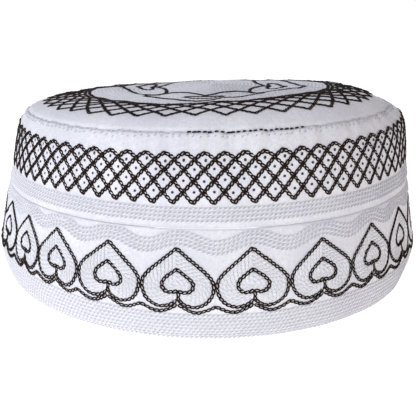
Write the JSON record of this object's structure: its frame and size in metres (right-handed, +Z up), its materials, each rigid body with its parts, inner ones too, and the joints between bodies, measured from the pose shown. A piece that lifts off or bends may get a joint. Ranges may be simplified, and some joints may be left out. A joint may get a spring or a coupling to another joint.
{
  "type": "embroidered prayer cap",
  "caption": "Soft brimless two-tier cap of white cotton with a domed round crown, embroidered in dark brown lattice and hearts.",
  "frame": {"origin": "middle of the rim, on the surface that the cap stands on", "axes": "+Z up through the crown, -Y towards the front of the cap, +X towards its right side as seen from the front"},
  "size_m": [0.2134, 0.2134, 0.1057],
  "materials": {
    "white_cotton": "plain woven cotton, matt, stitched through all over",
    "brown_thread": "mercerised cotton embroidery thread, twisted, low sheen",
    "white_thread": "mercerised cotton embroidery thread, twisted, low sheen"
  },
  "bodies": {
    "root": {"lower_band": "white_cotton", "upper_band": "white_cotton", "crown_panel": "white_cotton"}
  },
  "joints": []
}
